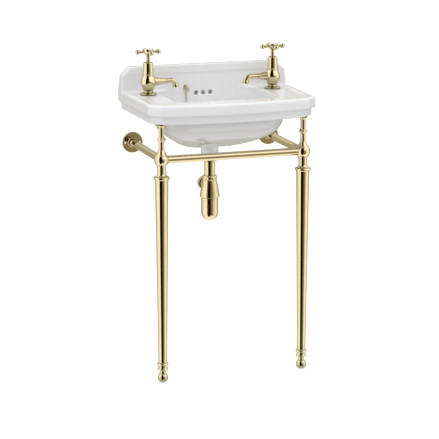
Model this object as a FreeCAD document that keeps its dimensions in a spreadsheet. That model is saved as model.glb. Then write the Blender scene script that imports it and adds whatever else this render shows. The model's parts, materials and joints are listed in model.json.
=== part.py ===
import FreeCAD, Part
import math
import os
import Sketcher

# Console washbasin on two turned front legs, carried at the back by the wall.
# Millimetres. +Z is up, +X is to the right seen from the front, the wall is on the +Y side.
# The origin is on the floor, under the middle of the basin's width and depth.

doc = FreeCAD.newDocument("console")
sheet = doc.addObject("Spreadsheet::Sheet", "sizes")


class Size:
    """A length as a number, together with the sheet expression that gives it."""

    def __init__(self, value, text):
        self.value = value
        self.text = text

    def __add__(self, other):
        other = asSize(other)
        return Size(self.value + other.value, "(%s + %s)" % (self.text, other.text))

    def __radd__(self, other):
        return asSize(other) + self

    def __sub__(self, other):
        other = asSize(other)
        return Size(self.value - other.value, "(%s - %s)" % (self.text, other.text))

    def __rsub__(self, other):
        return asSize(other) - self

    def __mul__(self, other):
        other = asSize(other)
        return Size(self.value * other.value, "(%s * %s)" % (self.text, other.text))

    def __rmul__(self, other):
        return asSize(other) * self

    def __truediv__(self, other):
        other = asSize(other)
        return Size(self.value / other.value, "(%s / %s)" % (self.text, other.text))

    def __neg__(self):
        return Size(-self.value, "(-1 * %s)" % self.text)


def asSize(number):
    if isinstance(number, Size):
        return number
    return Size(float(number), "%.9g" % number)


def root(size):
    return Size(math.sqrt(size.value), "sqrt(%s)" % size.text)


def size(alias, value):
    """Writes one driving dimension into the sheet and returns it."""
    row = size.row
    cell = "B%d" % row
    sheet.set("A%d" % row, alias)
    sheet.set(cell, "%.9g" % value)
    sheet.setAlias(cell, alias)
    size.row = row + 1
    return Size(float(value), "sizes.%s" % alias)


size.row = 1
zero = asSize(0)

# ---- driving dimensions -------------------------------------------------------------------

# whole console
basinWidth = size("basinWidth", 510)
basinDepth = size("basinDepth", 346)
rimTop = size("rimTop", 805)
legInset = size("legInset", 43)
legSetback = size("legSetback", 54)
railDrop = size("railDrop", 101)

# basin rim, deck and skirt
rimDepth = size("rimDepth", 56)
upperBand = size("upperBand", 32)
bandInset = size("bandInset", 10)
sideTaper = size("sideTaper", 5)
cornerAcross = size("cornerAcross", 31)
cornerRun = size("cornerRun", 30)
frontBow = size("frontBow", 24)
lipSide = size("lipSide", 22)
lipFront = size("lipFront", 66)
lipRise = size("lipRise", 3)
lipCorner = size("lipCorner", 34)
deckWall = size("deckWall", 17)
skirtWall = size("skirtWall", 15)
rimRound = size("rimRound", 6)
cornerRound = size("cornerRound", 9)

# raised back and its wings
splashRise = size("splashRise", 69)
splashWall = size("splashWall", 22)
wingReach = size("wingReach", 38)
wingRun = size("wingRun", 73)
wingEdge = size("wingEdge", 5)
wingFlare = size("wingFlare", 5)
wingCornerAcross = size("wingCornerAcross", 24)
wingCornerDown = size("wingCornerDown", 26)
mouldDrop = size("mouldDrop", 24)
mouldProud = size("mouldProud", 2)

# bowl
bowlFromFront = size("bowlFromFront", 71)
bowlDepth = size("bowlDepth", 151)
bowlWall = size("bowlWall", 13)
bowlFloorWall = size("bowlFloorWall", 11)
bowlCorner = size("bowlCorner", 55)
shoulderRise = size("shoulderRise", 117)
bellyRise = size("bellyRise", 92)
haunchRise = size("haunchRise", 62)
heelRise = size("heelRise", 43)
soleRise = size("soleRise", 21)
tapGap = size("tapGap", 5)
mouthLip = size("mouthLip", 16)
shoulderSwell = size("shoulderSwell", 6)
bellySwell = size("bellySwell", 7)
haunchTuck = size("haunchTuck", 5)
heelTuck = size("heelTuck", 21)
soleTuck = size("soleTuck", 50)
footTuck = size("footTuck", 96)
bossWidth = size("bossWidth", 52)
bossDrop = size("bossDrop", 33)
bossFlare = size("bossFlare", 13)
cornerSolid = size("cornerSolid", 38)
seatDepth = size("seatDepth", 3)

# overflow
overflowHole = size("overflowHole", 12)
overflowPitch = size("overflowPitch", 22)
overflowDrop = size("overflowDrop", 16.5)
ductWidth = size("ductWidth", 88)
ductReach = size("ductReach", 5)
ductWall = size("ductWall", 5)
ductSlot = size("ductSlot", 6)
neckWidth = size("neckWidth", 44)
drainHeight = size("drainHeight", 10)
ductDrop = size("ductDrop", 11)

# wall fixings of the basin
fixingInset = size("fixingInset", 50)
fixingHole = size("fixingHole", 12)
fixingDrop = size("fixingDrop", 38)

# legs and their feet
footBall = size("footBall", 30)
footFlat = size("footFlat", 12)
footNeck = size("footNeck", 18)
footRing = size("footRing", 31)
footReel = size("footReel", 26)
ankleRing = size("ankleRing", 33)
legFoot = size("legFoot", 58)
footRingDrop = size("footRingDrop", 19)
ankleDrop = size("ankleDrop", 4)
legBottomWidth = size("legBottomWidth", 24.5)
legTopWidth = size("legTopWidth", 38)
legWall = size("legWall", 2)
legPlug = size("legPlug", 30)
studWidth = size("studWidth", 12)
studLength = size("studLength", 24)
collarWidth = size("collarWidth", 46)
collarHeight = size("collarHeight", 12)
lowerNeck = size("lowerNeck", 25)
jointBall = size("jointBall", 42)
jointSpigot = size("jointSpigot", 30)
spigotGap = size("spigotGap", 0.6)
collarDrop = size("collarDrop", 59)
vaseRise = size("vaseRise", 36)
postWidth = size("postWidth", 16)
postBead = size("postBead", 26)
beadRise = size("beadRise", 58)
postFlare = size("postFlare", 24)
postStud = size("postStud", 8)
postStudLength = size("postStudLength", 20)
padHeight = size("padHeight", 2)
fitGap = size("fitGap", 0.1)

# rails and wall flanges
railWidth = size("railWidth", 22)
railWall = size("railWall", 1.5)
railPlug = size("railPlug", 35)
railSeat = size("railSeat", 11.5)
railToWall = size("railToWall", 60)
stemWidth = size("stemWidth", 14)
stemEntry = size("stemEntry", 30)
stemCollar = size("stemCollar", 19)
stemCollarLength = size("stemCollarLength", 9)
flangeWidth = size("flangeWidth", 62)
flangeWall = size("flangeWall", 5)
flangeRing = size("flangeRing", 28)
flangeRingWall = size("flangeRingWall", 3.5)
flangeRingRise = size("flangeRingRise", 4)
flangeHole = size("flangeHole", 6)
flangeHoleSpacing = size("flangeHoleSpacing", 44)

# taps
tapInset = size("tapInset", 65)
tapToWall = size("tapToWall", 95)
tapHole = size("tapHole", 28)
tapBase = size("tapBase", 47)
tapNeck = size("tapNeck", 28)
tapBulb = size("tapBulb", 45.5)
tapBulbHeight = size("tapBulbHeight", 36)
tapShoulder = size("tapShoulder", 32)
tapBodyHeight = size("tapBodyHeight", 58)
tapBore = size("tapBore", 14)
tapSocket = size("tapSocket", 24)
tapShank = size("tapShank", 20.9)
tapTail = size("tapTail", 50)
tailWidth = size("tailWidth", 20.4)
tailRelief = size("tailRelief", 1.5)
spoutHeight = size("spoutHeight", 38)
spoutReach = size("spoutReach", 82.5)
spoutWidth = size("spoutWidth", 15.5)
spoutRoot = size("spoutRoot", 26.5)
spoutBore = size("spoutBore", 8)
spoutBend = size("spoutBend", 13)
spoutSink = size("spoutSink", 6)
spoutBlend = size("spoutBlend", 33)
mouthWidth = size("mouthWidth", 19.5)
mouthHeight = size("mouthHeight", 19)
mouthFlare = size("mouthFlare", 9)
coverTop = size("coverTop", 94)
coverTopWidth = size("coverTopWidth", 28)
coverWall = size("coverWall", 1.8)
coverRound = size("coverRound", 3)
spindleWidth = size("spindleWidth", 11)
spindleCore = size("spindleCore", 8)
runGap = size("runGap", 0.1)
coverGap = size("coverGap", 0.3)
hubRise = size("hubRise", 18)
hubHeight = size("hubHeight", 20.5)
hubWidth = size("hubWidth", 31)
hubWaist = size("hubWaist", 14)
hubRim = size("hubRim", 1.8)
spindleGrip = size("spindleGrip", 15)
armDrop = size("armDrop", 8.5)
armReach = size("armReach", 31)
armWidth = size("armWidth", 7)
armBall = size("armBall", 14.5)
armCollar = size("armCollar", 9.5)
indexWall = size("indexWall", 3)
indexDome = size("indexDome", 1.6)
sealWall = size("sealWall", 1.5)
nutHeight = size("nutHeight", 8)
nutAcross = size("nutAcross", 30)
discWall = size("discWall", 3)
discWidth = size("discWidth", 16)
seatWall = size("seatWall", 2)
seatHeight = size("seatHeight", 24)
portWidth = size("portWidth", 5)
portOffset = size("portOffset", 4.5)
cartridgeNeck = size("cartridgeNeck", 18)
cartridgeDrop = size("cartridgeDrop", 8)
washerWidth = size("washerWidth", 34)
washerWall = size("washerWall", 2)

# waste, trap and plug
wasteToWall = size("wasteToWall", 82)
wasteShank = size("wasteShank", 41.9)
wasteHole = size("wasteHole", 43)
wasteFlange = size("wasteFlange", 64)
wasteFlangeWall = size("wasteFlangeWall", 3.5)
wasteBore = size("wasteBore", 35)
wasteTail = size("wasteTail", 14)
slotWidth = size("slotWidth", 14)
wasteNutWidth = size("wasteNutWidth", 56)
pipeWidth = size("pipeWidth", 32)
pipeWall = size("pipeWall", 1.2)
pipeEntry = size("pipeEntry", 16)
trapTop = size("trapTop", 552)
trapNutWidth = size("trapNutWidth", 43.5)
trapNutHeight = size("trapNutHeight", 13)
nutWall = size("nutWall", 2.8)
nutLip = size("nutLip", 2.5)
bellTopWidth = size("bellTopWidth", 41)
bellWidth = size("bellWidth", 59)
bellHeight = size("bellHeight", 46)
bellSkirt = size("bellSkirt", 6)
bellWall = size("bellWall", 3)
bottleWidth = size("bottleWidth", 51)
bottleDrop = size("bottleDrop", 46)
bottleWall = size("bottleWall", 2)
bottleThread = size("bottleThread", 46)
bottleSocket = size("bottleSocket", 19)
neckRelief = size("neckRelief", 5)
dipRise = size("dipRise", 30)
outletDrop = size("outletDrop", 19)
outletReach = size("outletReach", 58)
outletNutWidth = size("outletNutWidth", 42)
outletNutLength = size("outletNutLength", 20)
outletPipe = size("outletPipe", 32)
plugWidth = size("plugWidth", 43)
plugRise = size("plugRise", 3)
plugGap = size("plugGap", 0.4)
coneDepth = size("coneDepth", 7)
capDrop = size("capDrop", 1)
eyeWidth = size("eyeWidth", 9)
eyeWire = size("eyeWire", 2)
stayOffset = size("stayOffset", 54)
stayRise = size("stayRise", 2)
stayRosette = size("stayRosette", 15)
stayReach = size("stayReach", 9)
stayKnob = size("stayKnob", 9)
stayStud = size("stayStud", 5)
stayStudLength = size("stayStudLength", 12)
stayNeck = size("stayNeck", 3.6)
ringWidth = size("ringWidth", 17.5)
ringWire = size("ringWire", 2)
chainWidth = size("chainWidth", 4)

# ---- places worked out from them ----------------------------------------------------------

wallY = basinDepth / 2
legY = legSetback - basinDepth / 2
legToWall = wallY - legY
legX = basinWidth / 2 - legInset
legSpacing = legX * 2
fixingX = basinWidth / 2 - fixingInset
tapX = basinWidth / 2 - tapInset
tapY = wallY - tapToWall
wasteY = wallY - wasteToWall
rimBottom = rimTop - rimDepth
railHeight = rimBottom - railDrop
bandStep = rimTop - upperBand
deckTop = rimTop - lipRise
deckUnder = deckTop - deckWall
splashTop = rimTop + splashRise
panelY = wallY - splashWall
frontCorner = basinDepth / -2 + frontBow
mouthHalf = tapX - washerWidth / 2 - tapGap
shoulderHalf = mouthHalf + shoulderSwell
bellyHalf = mouthHalf + bellySwell
haunchHalf = mouthHalf - haunchTuck
heelHalf = mouthHalf - heelTuck
soleHalf = mouthHalf - soleTuck
footHalf = mouthHalf - footTuck
bowlHalf = mouthHalf - mouthLip
bowlFront = bowlFromFront - basinDepth / 2
bowlRear = panelY
bowlFloor = rimTop - bowlDepth
bowlUnder = bowlFloor - bowlFloorWall
bossBottom = bowlUnder - bossDrop
ductFoot = bowlUnder - ductDrop
overflowZ = rimTop - overflowDrop
fixingZ = rimTop - fixingDrop
stayZ = rimTop + stayRise
collarZ = railHeight - collarDrop
postTop = rimBottom - padHeight
drainZ = ductFoot + ductWall
hubFoot = coverTop + hubRise
hubTop = hubFoot + hubHeight
armHeight = hubTop - armDrop
cartridgeTop = coverTop - cartridgeDrop
tailStart = deckWall + washerWall + nutHeight + tailRelief
discZ = seatHeight + seatWall + runGap
wasteFoot = bossBottom - wasteTail
bellTop = trapTop - trapNutHeight
bellFoot = bellTop - bellHeight - bellSkirt
bottleFoot = bellFoot - bottleDrop - bottleWidth / 2
outletZ = bellTop - outletDrop
wasteRim = bowlFloor - seatDepth + sealWall + wasteFlangeWall
ringY = panelY - stayReach / 2
ringZ = stayZ + stayNeck / 2 + fitGap * 3 - ringWidth / 2 + ringWire


# ---- drawing helpers ----------------------------------------------------------------------

def newBody(label):
    body = doc.addObject("PartDesign::Body", label)
    body.Label = label
    return body


def place(body, x, y, z, axis=(0, 0, 1), angle=0):
    """Puts a body at a point worked out from the sheet, turned about one axis."""
    x, y, z = asSize(x), asSize(y), asSize(z)
    turned = FreeCAD.Rotation(FreeCAD.Vector(*axis), angle)
    body.Placement = FreeCAD.Placement(FreeCAD.Vector(x.value, y.value, z.value), turned)
    body.setExpression("Placement.Base.x", x.text)
    body.setExpression("Placement.Base.y", y.text)
    body.setExpression("Placement.Base.z", z.text)


def originPlane(body, role):
    return [item for item in body.Origin.OriginFeatures if item.Role == role][0]


def newSketch(body, role, name, offset=zero):
    """A sketch on one of the body's own origin planes, moved along that plane's normal."""
    sketch = body.newObject("Sketcher::SketchObject", name)
    sketch.AttachmentSupport = [(originPlane(body, role), "")]
    sketch.MapMode = "FlatFace"
    sketch.AttachmentOffset = FreeCAD.Placement(
        FreeCAD.Vector(0, 0, offset.value), FreeCAD.Rotation())
    sketch.setExpression("AttachmentOffset.Base.z", offset.text)
    return sketch


def fixPoint(sketch, geometry, position, u, v, todo):
    """Ties one sketch point to the origin with two distances from the sheet."""
    for kind, amount, axis in (("DistanceX", u, -2), ("DistanceY", v, -1)):
        if amount.value == 0:
            todo.append((Sketcher.Constraint("PointOnObject", geometry, position, axis), None))
        else:
            constraint = Sketcher.Constraint(kind, -1, 1, geometry, position, amount.value)
            todo.append((constraint, amount.text))


def applyConstraints(sketch, todo):
    first = sketch.ConstraintCount
    sketch.addConstraint([constraint for constraint, text in todo])
    for index, (constraint, text) in enumerate(todo):
        if text is not None:
            sketch.setExpression("Constraints[%d]" % (first + index), text)


def drawPath(sketch, path, closed=True):
    """Lines and arcs through the points of a path.

    An entry of two sizes is a point reached by a line. An entry of four sizes is an arc that
    passes through its first point and ends at its second.
    """
    path = [tuple(asSize(number) for number in entry) for entry in path]
    start = path[0]
    last = path[-1][-2:]
    joined = abs(last[0].value - start[0].value) + abs(last[1].value - start[1].value) < 1e-9
    if closed and not joined:
        path = path + [start]
    todo = []
    ends = []
    here = start
    for entry in path[1:]:
        there = entry[-2:]
        a = FreeCAD.Vector(here[0].value, here[1].value, 0)
        b = FreeCAD.Vector(there[0].value, there[1].value, 0)
        if len(entry) == 2:
            index = sketch.addGeometry(Part.LineSegment(a, b), False)
            ends.append((index, 1, 2))
        else:
            middle = FreeCAD.Vector(entry[0].value, entry[1].value, 0)
            turning = (middle - a).cross(b - middle).z
            pair = (a, b) if turning > 0 else (b, a)
            index = sketch.addGeometry(Part.Arc(pair[0], middle, pair[1]), False)
            ends.append((index, 1, 2) if turning > 0 else (index, 2, 1))
            guide = sketch.addGeometry(Part.Point(middle), True)
            fixPoint(sketch, guide, 1, entry[0], entry[1], todo)
            todo.append((Sketcher.Constraint("PointOnObject", guide, 1, index), None))
        fixPoint(sketch, ends[-1][0], ends[-1][1], here[0], here[1], todo)
        here = there
    for before, after in zip(ends, ends[1:]):
        todo.append((Sketcher.Constraint("Coincident", before[0], before[2], after[0], after[1]), None))
    if closed:
        todo.append((Sketcher.Constraint("Coincident", ends[-1][0], ends[-1][2], ends[0][0], ends[0][1]), None))
    else:
        fixPoint(sketch, ends[-1][0], ends[-1][2], here[0], here[1], todo)
    applyConstraints(sketch, todo)


def drawCircle(sketch, u, v, radius):
    u, v = asSize(u), asSize(v)
    spot = FreeCAD.Vector(u.value, v.value, 0)
    index = sketch.addGeometry(Part.Circle(spot, FreeCAD.Vector(0, 0, 1), radius.value), False)
    todo = [(Sketcher.Constraint("Radius", index, radius.value), radius.text)]
    fixPoint(sketch, index, 3, u, v, todo)
    applyConstraints(sketch, todo)


def rectangle(left, front, right, rear):
    return [(left, front), (right, front), (right, rear), (left, rear)]


def roundedBox(half, front, rear, radius):
    """A rectangle symmetric about the second axis, with four round corners."""
    bite = radius * (1 - math.sqrt(0.5))
    return [(radius - half, front), (half - radius, front),
            (half - bite, front + bite, half, front + radius), (half, rear - radius),
            (half - bite, rear - bite, half - radius, rear), (radius - half, rear),
            (bite - half, rear - bite, -half, rear - radius), (-half, front + radius),
            (bite - half, front + bite, radius - half, front)]


def pad(body, sketch, length, reverse=False):
    feature = body.newObject("PartDesign::Pad", sketch.Name + "Pad")
    feature.Profile = sketch
    feature.setExpression("Length", length.text)
    feature.Reversed = reverse
    return feature


def pocket(body, sketch, length, reverse=False):
    feature = body.newObject("PartDesign::Pocket", sketch.Name + "Pocket")
    feature.Profile = sketch
    feature.setExpression("Length", length.text)
    feature.Reversed = reverse
    return feature


def turn(body, name, path, kind="Revolution", role="XZ_Plane"):
    """A solid, or a cut, turned about the body's own upright axis."""
    sketch = newSketch(body, role, name)
    drawPath(sketch, path)
    feature = body.newObject("PartDesign::" + kind, name + kind)
    feature.Profile = sketch
    feature.ReferenceAxis = (sketch, ["V_Axis"])
    feature.Angle = 360
    return feature


def loft(body, name, sections, kind="AdditiveLoft"):
    """A skin through rounded boxes at several heights."""
    sketches = []
    for number, (height, path) in enumerate(sections):
        sketch = newSketch(body, "XY_Plane", "%s%d" % (name, number), height)
        drawPath(sketch, path)
        sketches.append(sketch)
    feature = body.newObject("PartDesign::" + kind, name + kind)
    feature.Profile = sketches[0]
    feature.Sections = sketches[1:]
    return feature


def roundEdges(body, feature, name, radius, wanted):
    """Rounds the edges of a feature whose middle point passes a test."""
    doc.recompute()
    names = []
    for index, edge in enumerate(feature.Shape.Edges):
        middle = edge.valueAt((edge.FirstParameter + edge.LastParameter) / 2)
        if wanted(middle, edge):
            names.append("Edge%d" % (index + 1))
    fillet = body.newObject("PartDesign::Fillet", name)
    fillet.Base = (feature, names)
    fillet.setExpression("Radius", radius.text)
    return fillet


def dome(radius, low, crown):
    """An arc from a rim at the given height to the axis, level where it meets the axis."""
    rise = crown - low
    sphere = (radius * radius + rise * rise) / (rise * 2)
    half = radius / 2
    return (half, crown - sphere + root(sphere * sphere - half * half), zero, crown)


def near(number, target, reach=0.05):
    return abs(number - asSize(target).value) < reach


# ---- basin --------------------------------------------------------------------------------

def rimOutline(inset):
    """The basin seen from above: straight back, tapering sides, cut corners and a bowed front."""
    half = basinWidth / 2 - inset
    sideFront = frontCorner + cornerRun
    cornerX = half - sideTaper - cornerAcross
    front = frontCorner + inset
    bow = basinDepth / -2 + inset
    return [(-half, wallY), (sideTaper - half, sideFront + inset / 2), (-cornerX, front),
            (zero, bow, cornerX, front), (half - sideTaper, sideFront + inset / 2), (half, wallY)]


def deckOutline():
    half = basinWidth / 2 - lipSide
    front = basinDepth / -2 + lipFront
    return [(-half, panelY + splashWall / 2), (-half, front + lipCorner), (lipCorner - half, front),
            (half - lipCorner, front), (half, front + lipCorner), (half, panelY + splashWall / 2)]


def panelCut(front):
    """What is cut away in front of the raised back, leaving a curved wing at each end."""
    half = basinWidth / 2 - wingEdge
    ahead = wallY - wingReach * 2
    tip = wallY - wingReach
    depth = front - tip
    radius = (wingRun * wingRun + depth * depth) / (depth * 2)
    midX = half - wingRun + wingRun / 2
    midY = front - radius + root(radius * radius - wingRun * wingRun / 4)
    return [(-half, ahead), (half, ahead), (half, tip), (midX, midY, half - wingRun, front),
            (wingRun - half, front), (-midX, midY, -half, tip)]


def bowlSections(outside):
    """Heights and rounded boxes of the bowl, from its mouth down to its floor.

    The inside keeps the bowl's wall away from the outside, and is no wider than its mouth.
    """
    wall = bowlWall if outside else zero
    foot = bowlUnder if outside else bowlFloor
    length = bowlRear - bowlFront + wall * 2
    stages = ((deckTop - foot, mouthHalf, 0, 0), (shoulderRise, shoulderHalf, 0.005, 0.005),
              (bellyRise, bellyHalf, 0.014, 0.011), (haunchRise, haunchHalf, 0.071, 0.021),
              (heelRise, heelHalf, 0.164, 0.036), (soleRise, soleHalf, 0.35, 0.057),
              (zero, footHalf, 0.586, 0.093))
    sections = []
    for rise, outer, ahead, behind in stages:
        half = outer
        if not outside:
            half = outer - bowlWall
            if half.value > bowlHalf.value:
                half = bowlHalf
        path = roundedBox(half, bowlFront - wall + length * ahead,
                          bowlRear + wall - length * behind, bowlCorner * (outer / shoulderHalf) + wall)
        sections.append((foot + rise, path))
    return sections


def isFrontCorner(middle, edge):
    upright = edge.BoundBox.XLength < 0.01 and edge.BoundBox.YLength < 0.01
    return upright and middle.y < 0


def isRimTop(middle, edge):
    flat = near(edge.BoundBox.ZMin, rimTop) and near(edge.BoundBox.ZMax, rimTop)
    return flat and middle.y < wallY.value - 1


def splashOutline():
    half = basinWidth / 2
    shoulder = half - wingFlare
    corner = splashTop - wingCornerDown
    base = rimTop - rimRound * 2
    return [(-half, base), (half, base), (half, rimTop), (shoulder, corner),
            (shoulder - wingCornerAcross, splashTop), (wingCornerAcross - shoulder, splashTop),
            (-shoulder, corner), (-half, rimTop)]


def makeRim(basin):
    lower = newSketch(basin, "XY_Plane", "lowerBand", rimBottom)
    drawPath(lower, rimOutline(bandInset))
    pad(basin, lower, rimDepth - upperBand)
    upper = newSketch(basin, "XY_Plane", "rimBand", bandStep)
    drawPath(upper, rimOutline(zero))
    rim = pad(basin, upper, upperBand)
    rim = roundEdges(basin, rim, "cornerRounds", cornerRound, isFrontCorner)
    roundEdges(basin, rim, "rimRounds", rimRound, isRimTop)
    deck = newSketch(basin, "XY_Plane", "deck", deckTop)
    drawPath(deck, deckOutline())
    pocket(basin, deck, lipRise * 2, True)


def makeSplash(basin):
    """The raised back: a block the depth of the wings, hollowed in front in two steps."""
    splash = newSketch(basin, "XZ_Plane", "splash", -wallY)
    drawPath(splash, splashOutline())
    pad(basin, splash, wingReach)
    band = newSketch(basin, "XY_Plane", "splashBand", deckTop)
    drawPath(band, panelCut(panelY - mouldProud))
    pocket(basin, band, splashTop - deckTop + lipRise, True)
    panel = newSketch(basin, "XY_Plane", "splashPanel", deckTop)
    drawPath(panel, panelCut(panelY))
    pocket(basin, panel, splashTop - deckTop - mouldDrop, True)


def hollowOutline():
    """The open space under the deck: it stops short of the front corners, which stay solid."""
    inset = bandInset + skirtWall
    half = basinWidth / 2 - inset
    rear = wallY - skirtWall
    cornerX = legX - cornerSolid
    bow = basinDepth / -2 + inset
    front = bow + frontBow * (cornerX.value / legX.value) ** 2
    return [(-half, rear), (sideTaper - half, legY + cornerSolid), (-cornerX, front),
            (zero, bow, cornerX, front), (half - sideTaper, legY + cornerSolid), (half, rear)]


def makeUnderside(basin):
    hollow = newSketch(basin, "XY_Plane", "hollow", rimBottom)
    drawPath(hollow, hollowOutline())
    pocket(basin, hollow, deckUnder - rimBottom, True)
    studHoles = newSketch(basin, "XY_Plane", "studHoles", rimBottom)
    for side in (-1, 1):
        drawCircle(studHoles, legX * side, legY, postStud / 2 + fitGap * 5)
    pocket(basin, studHoles, postStudLength, True)


def makeBowl(basin):
    loft(basin, "bowlOutside", bowlSections(True))
    boss = newSketch(basin, "XY_Plane", "boss", bossBottom)
    drawCircle(boss, zero, wasteY, bossWidth / 2)
    pad(basin, boss, bowlFloor - bossBottom)
    skirt = []
    for rise, share in ((0, 0), (0.45, 0.2), (0.8, 0.6), (1, 1)):
        ring = newSketch(basin, "XY_Plane", "bossSkirt%d" % len(skirt), bowlUnder - bossFlare * (0.6 - rise))
        drawCircle(ring, zero, wasteY, bossWidth / 2 + bossFlare * share)
        skirt.append(ring)
    flare = basin.newObject("PartDesign::AdditiveLoft", "bossSkirt")
    flare.Profile = skirt[0]
    flare.Sections = skirt[1:]
    duct = newSketch(basin, "XY_Plane", "duct", ductFoot)
    drawPath(duct, rectangle(ductWidth / -2, bowlRear - ductWall, ductWidth / 2, wallY - ductReach))
    pad(basin, duct, deckUnder - ductFoot + lipRise)
    neck = newSketch(basin, "XY_Plane", "ductNeck", ductFoot)
    drawPath(neck, rectangle(neckWidth / -2, wasteY, neckWidth / 2, wallY - ductReach))
    pad(basin, neck, bowlFloor - ductFoot)
    loft(basin, "bowlInside", bowlSections(False), "SubtractiveLoft")


def makeBasinHoles(basin):
    waste = newSketch(basin, "XY_Plane", "wasteHole", bossBottom)
    drawCircle(waste, zero, wasteY, wasteHole / 2)
    pocket(basin, waste, rimTop - bossBottom, True)
    seat = newSketch(basin, "XY_Plane", "wasteSeat", bowlFloor - seatDepth)
    drawCircle(seat, zero, wasteY, wasteFlange / 2 + fitGap * 10)
    pocket(basin, seat, wasteFlange / 2, True)
    slotFront = bowlRear + ductWall
    slot = newSketch(basin, "XY_Plane", "overflowDuct", ductFoot + ductWall)
    drawPath(slot, rectangle(ductWall - ductWidth / 2, slotFront, ductWidth / 2 - ductWall,
                             slotFront + ductSlot))
    pocket(basin, slot, overflowZ + overflowHole - ductFoot - ductWall, True)
    drain = newSketch(basin, "XY_Plane", "overflowDrain", ductFoot + ductWall)
    drawPath(drain, rectangle(ductSlot - neckWidth / 2, wasteY, neckWidth / 2 - ductSlot,
                              slotFront + ductSlot))
    pocket(basin, drain, drainHeight, True)
    holes = newSketch(basin, "XZ_Plane", "overflowHoles", -slotFront - ductSlot / 2)
    for side in (-1, 0, 1):
        drawCircle(holes, overflowPitch * side, overflowZ, overflowHole / 2)
    pocket(basin, holes, ductWall + bowlWall, True)
    taps = newSketch(basin, "XY_Plane", "tapHoles", deckUnder)
    fixings = newSketch(basin, "XZ_Plane", "wallHoles", -wallY)
    for side in (-1, 1):
        drawCircle(taps, tapX * side, tapY, tapHole / 2)
        drawCircle(fixings, fixingX * side, fixingZ, fixingHole / 2)
    pocket(basin, taps, deckWall + lipRise, True)
    pocket(basin, fixings, skirtWall * 1.5, True)
    stay = newSketch(basin, "XZ_Plane", "stayHole", -panelY)
    drawCircle(stay, -stayOffset, stayZ, stayStud / 2 + fitGap)
    pocket(basin, stay, stayStudLength + fitGap * 5, False)


def makeBasin():
    basin = newBody("basin")
    makeRim(basin)
    makeSplash(basin)
    makeUnderside(basin)
    makeBowl(basin)
    makeBasinHoles(basin)
    return basin


# ---- legs, rails and wall flanges ---------------------------------------------------------

def makeFoot(label):
    """Flat-bottomed ball, thin neck, two rings with a reel between, and a stud for the leg."""
    foot = newBody(label)
    ball = footBall / 2
    flat = footFlat / 2
    neck = footNeck / 2
    ring = footRing / 2
    reel = footReel / 2
    ankle = ankleRing / 2
    centre = root(ball * ball - flat * flat)
    neckZ = centre + root(ball * ball - neck * neck)
    ringHeight = legFoot - footRingDrop
    ankleZ = legFoot - ankleDrop
    turn(foot, "footProfile", [
        (0, 0), (flat, 0), (ball, centre, neck, neckZ), (neck, ringHeight - 7),
        (neck + 1, ringHeight - 4.6, ring - 2, ringHeight - 3.2), (ring, ringHeight, ring - 2, ringHeight + 3.2),
        (reel, ringHeight + 4), (reel, ankleZ - 4.6), (ankle - 2.5, ankleZ - 3.4),
        (ankle, ankleZ, ankle - 2.5, ankleZ + 3), (legBottomWidth / 2 + 0.5, legFoot),
        (studWidth / 2, legFoot), (studWidth / 2, legFoot + studLength), (0, legFoot + studLength)])
    return foot


def makeLegTube(label):
    """A slim tapered tube with a thick threaded end at the foot."""
    leg = newBody(label)
    top = collarZ
    bore = studWidth / 2 + fitGap
    turn(leg, "legProfile", [
        (bore, legFoot), (legBottomWidth / 2, legFoot), (legTopWidth / 2, top),
        (legTopWidth / 2 - legWall, top), (legBottomWidth / 2 - legWall, legFoot + legPlug),
        (bore, legFoot + legPlug)])
    return leg


def makeCornerJoint(label):
    """Spigot, collar, neck and ball, with a socket for each of the two rails that meet here."""
    joint = newBody(label)
    spigot = legTopWidth / 2 - legWall - spigotGap
    collar = collarWidth / 2
    foot = -collarDrop
    top = foot + collarHeight
    neck = lowerNeck / 2
    ball = jointBall / 2
    post = postWidth / 2
    bore = postStud / 2 + fitGap
    underZ = -ball * 0.75
    overZ = ball * 0.6
    underR = ball * math.sqrt(1 - 0.75 ** 2)
    overR = ball * 0.8
    turn(joint, "jointProfile", [
        (0, foot - jointSpigot), (spigot, foot - jointSpigot), (spigot, foot),
        (legTopWidth / 2 + 0.8, foot), (collar - 2.6, foot + 2.6),
        (collar, top - 4.6, collar - 1.8, top - 1.2),
        ((collar + neck) / 2 - 2, top + 1.6, neck, top + 7),
        (neck, underZ - ball * 0.5), (neck + 0.4, underZ - 4.4, underR, underZ),
        (ball, 0, overR, overZ), ((overR + post) / 2 - 1, overZ + 8.6, post + 0.3, vaseRise - 5),
        (post, vaseRise), (bore, vaseRise), (bore, vaseRise - postStudLength),
        (0, vaseRise - postStudLength)])
    socket = railWidth / 2 + fitGap
    across = newSketch(joint, "YZ_Plane", "acrossSocket", railSeat)
    drawCircle(across, zero, zero, socket)
    pocket(joint, across, jointBall, True)
    back = newSketch(joint, "XZ_Plane", "backSocket", -railSeat)
    drawCircle(back, zero, zero, socket)
    pocket(joint, back, jointBall)
    return joint


def makeUpperPost(label):
    """Thin post with a sharp bead, opening out under the basin, with a stud at each end."""
    post = newBody(label)
    stem = postWidth / 2
    bead = postBead / 2
    flare = postFlare / 2
    stud = postStud / 2
    top = postTop - railHeight
    studEnd = top + postStudLength
    turn(post, "postProfile", [
        (0, vaseRise - postStudLength + 2), (stud, vaseRise - postStudLength + 2),
        (stud, vaseRise), (stem, vaseRise), (stem, beadRise - 7), (stem + 1.6, beadRise - 5),
        (bead - 0.6, beadRise - 1), (bead, beadRise, bead - 0.6, beadRise + 1),
        (stem + 1.6, beadRise + 5), (stem, beadRise + 7), (stem, top - 11),
        (stem + 1.1, top - 4.6, flare, top - 1), (flare, top), (stud, top), (stud, studEnd),
        (0, studEnd)])
    return post


def makeBasinPad(label):
    pad = newBody(label)
    turn(pad, "padProfile", rectangle(postStud / 2 + fitGap * 3, 0, postFlare / 2, padHeight))
    return pad


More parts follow.
